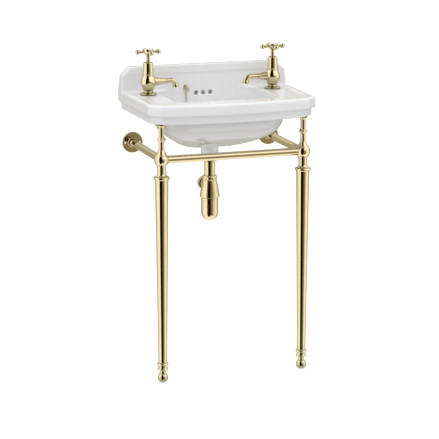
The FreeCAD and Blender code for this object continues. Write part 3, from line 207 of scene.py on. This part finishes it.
def buildWorld():
    world = bpy.data.worlds.new("studio")
    bpy.context.scene.world = world
    world.use_nodes = True
    tree = world.node_tree
    tree.nodes.clear()
    coord = addNode(tree, "ShaderNodeTexCoord", -1300, 0)
    turned = addNode(tree, "ShaderNodeMapping", -1100, 0, vector_type="POINT")
    turned.inputs["Rotation"].default_value = (0, 0, math.radians(-room["faces"]))
    tree.links.new(coord.outputs["Generated"], turned.inputs["Vector"])
    split = addNode(tree, "ShaderNodeSeparateXYZ", -940, 0)
    tree.links.new(turned.outputs[0], split.inputs[0])
    forward = mathNode(tree, -780, 40, "MULTIPLY", split.outputs[1], -1)
    around = mathNode(tree, -620, 120, "ARCTAN2", split.outputs[0], forward)
    around = mathNode(tree, -460, 120, "DIVIDE", around, 2 * math.pi)
    around = mathNode(tree, -300, 120, "ADD", around, 0.5)
    height = mathNode(tree, -620, -120, "ARCSINE", split.outputs[2])
    height = mathNode(tree, -460, -120, "DIVIDE", height, math.pi)
    height = mathNode(tree, -300, -120, "ADD", height, 0.5)
    ring = ringRamp(tree, -100, 300, around, roomRing, warm)
    gap = ringRamp(tree, -100, 60, around, gapRing, grey)
    inRing = heightRamp(tree, -100, -160, height, ringHeights)
    aboveEyes = heightRamp(tree, -100, -380, height, boxHeights)
    overhead = heightRamp(tree, -100, -600, height, topHeights)
    inGap = heightRamp(tree, -100, -820, height, gapHeights)
    boxes = ringRamp(tree, -100, 520, around, boxRing, warm)
    lowOrHigh = mixColours(tree, 200, 0, aboveEyes, warm(room["floorLevel"]), boxes)
    withTop = mixColours(tree, 380, 0, overhead, lowOrHigh, warm(room["topLevel"]))
    withRing = mixColours(tree, 560, 0, inRing, withTop, ring)
    notGap = mathNode(tree, 380, -260, "SUBTRACT", 1.0, gap)
    gapShare = mathNode(tree, 560, -260, "MULTIPLY", notGap, inGap)
    seenColour = mixColours(tree, 740, 0, gapShare, withRing, warm(room["gapDark"]))
    path = addNode(tree, "ShaderNodeLightPath", 740, 420)
    softColour = heightRamp(tree, 380, 420, height, room["softHeights"])
    soft = addNode(tree, "ShaderNodeBackground", 900, 320)
    tree.links.new(softColour, soft.inputs[0])
    seen = addNode(tree, "ShaderNodeBackground", 900, 60)
    seen.inputs[1].default_value = room["shinyGain"]
    tree.links.new(seenColour, seen.inputs[0])
    plain = addNode(tree, "ShaderNodeBackground", 900, -140)
    plain.inputs[0].default_value = (1, 1, 1, 1)
    # light that metal throws on to the glaze comes from the soft room, not from the one that the metal shows
    direct = mathNode(tree, 740, 560, "LESS_THAN", path.outputs["Diffuse Depth"], 0.5)
    mirrored = mathNode(tree, 900, 480, "MULTIPLY", path.outputs["Is Glossy Ray"], direct)
    shiny = addNode(tree, "ShaderNodeMixShader", 1080, 240)
    tree.links.new(mirrored, shiny.inputs[0])
    tree.links.new(soft.outputs[0], shiny.inputs[1])
    tree.links.new(seen.outputs[0], shiny.inputs[2])
    final = addNode(tree, "ShaderNodeMixShader", 1240, 80)
    tree.links.new(path.outputs["Is Camera Ray"], final.inputs[0])
    tree.links.new(shiny.outputs[0], final.inputs[1])
    tree.links.new(plain.outputs[0], final.inputs[2])
    out = addNode(tree, "ShaderNodeOutputWorld", 1400, 0)
    tree.links.new(final.outputs[0], out.inputs[0])


def addLamp(name, place, width, power):
    lamp = bpy.data.objects.new(name, bpy.data.lights.new(name, "AREA"))
    bpy.context.scene.collection.objects.link(lamp)
    lamp.data.shape = "DISK"
    lamp.data.size = width
    lamp.data.energy = power
    lamp.location = place
    lamp.rotation_euler = (Vector(lampAim) - Vector(place)).to_track_quat("-Z", "Y").to_euler()
    lamp.visible_glossy = False


def buildFloor():
    mesh = bpy.data.meshes.new("floor")
    shape = bmesh.new()
    bmesh.ops.create_circle(shape, cap_ends=True, segments=room["floorSides"], radius=room["floorRadius"])
    shape.to_mesh(mesh)
    shape.free()
    floor = bpy.data.objects.new("floor", mesh)
    bpy.context.scene.collection.objects.link(floor)
    floor.location.z = -room["floorDrop"]
    mat, tree, shader = newMaterial("paleFloor")
    shader.inputs["Base Color"].default_value = (*room["floorColour"], 1)
    shader.inputs["Roughness"].default_value = room["floorRough"]
    shader.inputs["Specular IOR Level"].default_value = 0.0
    glow = addNode(tree, "ShaderNodeEmission", 0, -240)
    glow.inputs[0].default_value = (1, 1, 1, 1)
    path = addNode(tree, "ShaderNodeLightPath", -200, 300)
    clear = addNode(tree, "ShaderNodeBsdfTransparent", 200, -300)
    add = addNode(tree, "ShaderNodeAddShader", 300, 0)
    lift = mathNode(tree, -20, -100, "MULTIPLY", path.outputs["Is Camera Ray"], room["floorLift"])
    tree.links.new(lift, glow.inputs[1])
    tree.links.new(shader.outputs[0], add.inputs[0])
    tree.links.new(glow.outputs[0], add.inputs[1])
    mix = addNode(tree, "ShaderNodeMixShader", 460, 0)
    tree.links.new(path.outputs["Is Glossy Ray"], mix.inputs[0])
    tree.links.new(add.outputs[0], mix.inputs[1])
    tree.links.new(clear.outputs[0], mix.inputs[2])
    tree.links.new(mix.outputs[0], tree.nodes["Material Output"].inputs[0])
    mesh.materials.append(mat)


goldFinish = {
    "colours": ((0.715, 0.612, 0.388), (0.695, 0.588, 0.364)),
    "toneSpread": (0.3, 0.75),  # where the haze goes from one colour to the other
    "recess": (0.38, 0.34, 0.26),  # painted shade: how much the colour keeps where metal faces something close by
    "recessSpread": (0.30, 0.92),
    "recessReach": 0.045,  # metres
    "recessSamples": 6,
    "roughness": 0.030,
    "roughSpread": (0.3, 0.8),
    "hazeRough": 1.5,  # times the roughness where the haze is thickest
    "hazeScale": 30.0,
    "hazeDetail": 3,
    "waveScale": 55.0,
    "waveStrength": 0.5,
    "waveHeight": 0.00003,  # metres
    "machinedDull": 0.18,  # what unplated brass adds to the roughness
    "smallDull": 0.02,
    # a lighter painted shade for the small pieces near the glaze
    "smallPaintedShade": (0.82, 0.80, 0.76),
}


def makeGold(name="polishedGold", dull=0.0, recess=goldFinish["recess"]):
    mat, tree, shader = newMaterial(name)
    haze = noiseNode(tree, -700, 100, goldFinish["hazeScale"], goldFinish["hazeDetail"])
    tone = blendTones(tree, -480, 200, haze, goldFinish["toneSpread"], goldFinish["colours"])
    # painted shade: an Ambient Occlusion node darkens the base colour wherever the metal faces something
    # within reach, standing in for shade and dim reflections
    nearby = addNode(tree, "ShaderNodeAmbientOcclusion", -700, 420, samples=goldFinish["recessSamples"])
    nearby.inputs["Distance"].default_value = goldFinish["recessReach"]
    paintedShadeTint = blendTones(tree, -480, 420, nearby.outputs["AO"], goldFinish["recessSpread"], (recess, (1, 1, 1)))
    shaded = addNode(tree, "ShaderNodeMix", -240, 300, data_type="RGBA", blend_type="MULTIPLY")
    shaded.inputs[0].default_value = 1
    tree.links.new(tone, shaded.inputs[6])
    tree.links.new(paintedShadeTint, shaded.inputs[7])
    tree.links.new(shaded.outputs[2], shader.inputs["Base Color"])
    shader.inputs["Metallic"].default_value = 1
    rough = addNode(tree, "ShaderNodeMapRange", -480, -60)
    tree.links.new(haze, rough.inputs[0])
    rough.inputs[1].default_value, rough.inputs[2].default_value = goldFinish["roughSpread"]
    rough.inputs[3].default_value = goldFinish["roughness"] + dull
    rough.inputs[4].default_value = goldFinish["roughness"] * goldFinish["hazeRough"] + dull
    tree.links.new(rough.outputs[0], shader.inputs["Roughness"])
    wave = noiseNode(tree, -700, -260, goldFinish["waveScale"])
    addBump(tree, shader, wave, goldFinish["waveStrength"], goldFinish["waveHeight"])
    return mat


glazeFinish = {
    "colours": ((0.818, 0.822, 0.834), (0.838, 0.842, 0.852)),  # where it lies thin, and thick
    "toneSpread": (0.25, 0.7),
    "bodyScale": 9,
    "bodyDetail": 4,
    "roughness": 0.09,
    "ior": 1.5,
    "edgeRound": 0.0022,  # metres
    "edgeSamples": 6,
    "waveScale": 22,
    "waveStrength": 0.05,
    "waveHeight": 0.0006,  # metres
}


def makeGlaze(name="whiteGlaze"):
    mat, tree, shader = newMaterial(name)
    body = noiseNode(tree, -700, 100, glazeFinish["bodyScale"], glazeFinish["bodyDetail"])
    tone = blendTones(tree, -480, 200, body, glazeFinish["toneSpread"], glazeFinish["colours"])
    tree.links.new(tone, shader.inputs["Base Color"])
    shader.inputs["Roughness"].default_value = glazeFinish["roughness"]
    shader.inputs["IOR"].default_value = glazeFinish["ior"]
    soft = addNode(tree, "ShaderNodeBevel", -500, -300, samples=glazeFinish["edgeSamples"])
    soft.inputs["Radius"].default_value = glazeFinish["edgeRound"]
    wave = noiseNode(tree, -700, -160, glazeFinish["waveScale"])
    bump = addBump(tree, shader, wave, glazeFinish["waveStrength"], glazeFinish["waveHeight"])
    tree.links.new(soft.outputs[0], bump.inputs["Normal"])
    return mat


rubberFinish = {
    "colours": ((0.018, 0.018, 0.018), (0.035, 0.034, 0.033)),
    "toneSpread": (0.3, 0.7),
    "grainScale": 700,
    "roughness": 0.7,
    "bumpStrength": 0.2,
    "bumpHeight": 0.0003,  # metres
}


def makeRubber():
    mat, tree, shader = newMaterial("blackRubber")
    grain = noiseNode(tree, -700, 0, rubberFinish["grainScale"])
    tone = blendTones(tree, -480, 100, grain, rubberFinish["toneSpread"], rubberFinish["colours"])
    tree.links.new(tone, shader.inputs["Base Color"])
    shader.inputs["Roughness"].default_value = rubberFinish["roughness"]
    addBump(tree, shader, grain, rubberFinish["bumpStrength"], rubberFinish["bumpHeight"])
    return mat


nylonFinish = {
    "colours": ((0.68, 0.67, 0.63), (0.74, 0.73, 0.70)),
    "toneSpread": (0.3, 0.7),
    "grainScale": 300,
    "roughness": 0.45,
}


def makeNylon():
    mat, tree, shader = newMaterial("nylon")
    grain = noiseNode(tree, -700, 0, nylonFinish["grainScale"])
    tone = blendTones(tree, -480, 100, grain, nylonFinish["toneSpread"], nylonFinish["colours"])
    tree.links.new(tone, shader.inputs["Base Color"])
    shader.inputs["Roughness"].default_value = nylonFinish["roughness"]
    return mat


basinSkin = {
    "weld": 0.00002,  # metres
    "voxel": 0.0022,
    "softening": 7,
    "softenFactor": 0.5,
}


def castBasin():
    # the solid's own surface with every edge softened, as fired clay has them
    source = frame["nodes"]["basin"]
    mesh = source.data.copy()
    shape = bmesh.new()
    shape.from_mesh(mesh)
    bmesh.ops.remove_doubles(shape, verts=shape.verts, dist=basinSkin["weld"])
    shape.to_mesh(mesh)
    shape.free()
    basin = bpy.data.objects.new("basinCasting", mesh)
    bpy.context.scene.collection.objects.link(basin)
    remesh = basin.modifiers.new("voxels", "REMESH")
    remesh.mode = "VOXEL"
    remesh.voxel_size = basinSkin["voxel"]
    remesh.use_smooth_shade = True
    smooth = basin.modifiers.new("soften", "SMOOTH")
    smooth.iterations = basinSkin["softening"]
    smooth.factor = basinSkin["softenFactor"]
    made = bpy.data.meshes.new_from_object(basin.evaluated_get(bpy.context.evaluated_depsgraph_get()))
    basin.modifiers.clear()
    basin.data = made
    basin.data.materials.clear()
    basin.data.materials.append(finishes["basin"])
    for face in basin.data.polygons:
        face.use_smooth = True
    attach(basin, "console")
    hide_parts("basin")
    return basin


ribbedNuts = {
    # which way each nut runs from its open end to its lip
    "ahead": {"trap_nut": (0, 0, 1), "outlet_nut": (0, 1, 0)},
    # metres
    "bore": 0.0161,
    "wall": 0.0027,
    "lip": 0.0025,
    "ribDepth": 0.0007,
    "ribs": 18,
    "ribHollow": 0.6,  # under 1 widens the hollow between two ribs
    "segments": 216,
    "crease": 38,  # degrees
    # metres in from the width, metres from that end, and the share of the rib's depth there
    "openEnd": ((0.0006, 0, 0), (0, 0.0008, 0), (0, 0.0016, 0), (0, 0.0021, 0.8), (0, 0.0026, 1)),
    "lipEnd": ((0, 0.0058, 1), (0, 0.0050, 0.7), (0, 0.0042, 0), (0.0003, 0.0028, 0),
               (0.0010, 0.0014, 0), (0.0020, 0.0005, 0), (0.0036, 0, 0)),
}


def turnNut(name):
    # the solid's own place, width and length, with the ribs cut into it
    low, high = (Vector(corner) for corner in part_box(name))
    ahead = Vector(ribbedNuts["ahead"][name])
    middle = (low + high) / 2
    length = (high - low).dot(ahead)
    outer = (high - low).x / 2
    foot = middle - ahead * length / 2
    inner = outer - ribbedNuts["wall"]
    bore = ribbedNuts["bore"]
    lipFoot = length - ribbedNuts["lip"]
    # radius, distance from the open end, share of the rib's depth
    outline = [(inner, 0, 0)]
    outline += [(outer - tuck, rise, share) for tuck, rise, share in ribbedNuts["openEnd"]]
    outline += [(outer - tuck, length - fall, share) for tuck, fall, share in ribbedNuts["lipEnd"]]
    outline += [(bore, length, 0), (bore, lipFoot, 0), (inner, lipFoot, 0)]
    turn = ahead.to_track_quat("Z", "Y").to_matrix()
    count = ribbedNuts["segments"]
    shape = bmesh.new()
    loops = []
    for radius, distance, share in outline:
        loop = []
        for i in range(count):
            angle = 2 * math.pi * i / count
            hollow = abs(math.sin(angle * ribbedNuts["ribs"] / 2)) ** ribbedNuts["ribHollow"]
            reach = radius - ribbedNuts["ribDepth"] * share * hollow
            spot = Vector((reach * math.cos(angle), reach * math.sin(angle), distance))
            loop.append(shape.verts.new(foot + turn @ spot))
        loops.append(loop)
    for first, second in zip(loops, loops[1:] + loops[:1]):
        for i in range(count):
            shape.faces.new((first[i], first[(i + 1) % count], second[(i + 1) % count], second[i]))
    bmesh.ops.recalc_face_normals(shape, faces=shape.faces)
    mesh = bpy.data.meshes.new(name + "Ribbed")
    shape.to_mesh(mesh)
    shape.free()
    for face in mesh.polygons:
        face.use_smooth = True
    mesh.set_sharp_from_angle(angle=math.radians(ribbedNuts["crease"]))
    mesh.materials.append(finishes["polished_gold"])
    piece = bpy.data.objects.new(name + "Ribbed", mesh)
    bpy.context.scene.collection.objects.link(piece)
    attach(piece, "console")
    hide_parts(name)


beadChain = {
    # metres: from the ring down the back of the bowl and along its floor to the eye of the plug
    "route": ((-0.054, 0.1465, 0.7946), (-0.0536, 0.1452, 0.7400), (-0.0526, 0.1418, 0.7090),
              (-0.0505, 0.1344, 0.6810), (-0.0460, 0.1240, 0.6615), (-0.0330, 0.1100, 0.6566),
              (-0.0160, 0.0985, 0.6600), (-0.0053, 0.0925, 0.6635)),
    "length": 0.189,
    "width": 0.004,
    "pitch": 0.0049,
    "wire": 0.00055,  # half its width
    "tipLength": 0.0062,
    "beadLength": 0.97,  # a bead's length as a share of its width
    # a clasp's outline, as shares of the tip's length and of half the width
    "clasp": ((0, 0.45), (0.2, 0.5), (0.34, 0.98), (0.9, 1), (0.98, 0.9)),
    "curveOrder": 3,
    "curveSteps": 24,
    "rings": 10,
    "segments": 16,
}


def routeLine(name, points):
    # the smooth line through a few given points, as a list of close steps
    curve = bpy.data.curves.new(name, "CURVE")
    curve.dimensions = "3D"
    curve.resolution_u = beadChain["curveSteps"]
    spline = curve.splines.new("NURBS")
    spline.points.add(len(points) - 1)
    for point, place in zip(spline.points, points):
        point.co = (*place, 1)
    spline.order_u = beadChain["curveOrder"]
    spline.use_endpoint_u = True
    holder = bpy.data.objects.new(name, curve)
    bpy.context.scene.collection.objects.link(holder)
    steps = bpy.data.meshes.new_from_object(holder.evaluated_get(bpy.context.evaluated_depsgraph_get()))
    line = [vertex.co.copy() for vertex in steps.vertices]
    bpy.data.objects.remove(holder)
    return line


def alongLine(line, distance):
    for start, end in zip(line, line[1:]):
        step = (end - start).length
        if distance <= step:
            return start.lerp(end, distance / step), (end - start).normalized()
        distance -= step
    return line[-1].copy(), (line[-1] - line[-2]).normalized()


def addBead(shape, place, ahead, halfWidth, halfLength):
    turn = ahead.to_track_quat("Z", "Y").to_matrix().to_4x4()
    made = bmesh.ops.create_uvsphere(shape, u_segments=beadChain["segments"],
                                     v_segments=beadChain["rings"], radius=1)
    for vertex in made["verts"]:
        spot = vertex.co
        vertex.co = place + turn @ Vector((spot.x * halfWidth, spot.y * halfWidth, spot.z * halfLength))


def addTube(shape, place, ahead, outline):
    # a turned piece along the line, its outline given as (distance, radius)
    turn = ahead.to_track_quat("Z", "Y").to_matrix().to_4x4()
    count = beadChain["segments"]
    angles = [2 * math.pi * i / count for i in range(count)]
    loops = []
    for distance, radius in outline:
        spots = [Vector((radius * math.cos(angle), radius * math.sin(angle), distance)) for angle in angles]
        loops.append([shape.verts.new(place + turn @ spot) for spot in spots])
    for lower, upper in zip(loops, loops[1:]):
        for i in range(count):
            shape.faces.new((lower[i], lower[(i + 1) % count], upper[(i + 1) % count], upper[i]))
    shape.faces.new(loops[0][::-1])
    shape.faces.new(loops[-1])


def threadChain():
    line = routeLine("chainRoute", beadChain["route"])
    total = sum((b - a).length for a, b in zip(line, line[1:]))
    shape = bmesh.new()
    half = beadChain["width"] / 2
    tip = beadChain["tipLength"]
    wire = beadChain["wire"]
    count = int((total - 2 * tip) / beadChain["pitch"])
    pitch = (total - 2 * tip) / count
    for number in range(count + 1):
        place, ahead = alongLine(line, tip + number * pitch)
        addBead(shape, place, ahead, half, half * beadChain["beadLength"])
        if number < count:
            middle, ahead = alongLine(line, tip + (number + 0.5) * pitch)
            addTube(shape, middle, ahead, [(-pitch / 2, wire), (pitch / 2, wire)])
    # a clasp at each end: a split tube that grips the last bead, with a narrow stem to the ring or eye
    clasp = [(tip * along, half * across) for along, across in beadChain["clasp"]]
    addTube(shape, line[0], (line[2] - line[0]).normalized(), clasp)
    addTube(shape, line[-1], (line[-3] - line[-1]).normalized(), clasp)
    mesh = bpy.data.meshes.new("beadChain")
    shape.to_mesh(mesh)
    shape.free()
    for face in mesh.polygons:
        face.use_smooth = True
    mesh.materials.append(finishes["small_gold"])
    chain = bpy.data.objects.new("beadChain", mesh)
    bpy.context.scene.collection.objects.link(chain)
    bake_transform(chain)
    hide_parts("plug_chain")
    return chain, count + 1, total


addCamera()
buildWorld()
for lampName, lamp in lamps.items():
    addLamp(lampName, lamp["place"], lamp["width"], lamp["power"])
buildFloor()
print("camera, room and floor ready")

finishes = {
    "polished_gold": makeGold(),
    "bare_brass": makeGold("machinedBrass", goldFinish["machinedDull"]),
    # the small pieces take a lighter painted shade from the Ambient Occlusion darkening
    "small_gold": makeGold("smallGold", goldFinish["smallDull"], goldFinish["smallPaintedShade"]),
    "basin": makeGlaze(),
    "porcelain": makeGlaze("porcelain"),
    "rubber": makeRubber(),
    "nylon": makeNylon(),
}
slotOf = {item["node"]: item["material_slot"] for item in frame["record"]["subparts"]}
smallParts = ("chain_stay", "stay_ring", "plug_cap")
for nodeName, node in frame["nodes"].items():
    node.data.materials.clear()
    node.data.materials.append(finishes["small_gold" if nodeName in smallParts else slotOf[nodeName]])
print("finishes on", len(slotOf), "nodes")

basin = castBasin()
print("basin cast,", len(basin.data.polygons), "faces")

for nutName in ribbedNuts["ahead"]:
    turnNut(nutName)
print("ribbed nuts turned")

chain, beadCount, chainLength = threadChain()
print("chain of", beadCount, "beads,", round(chainLength * 1000, 1), "mm")

scene = bpy.context.scene
scene.view_settings.view_transform = "Standard"
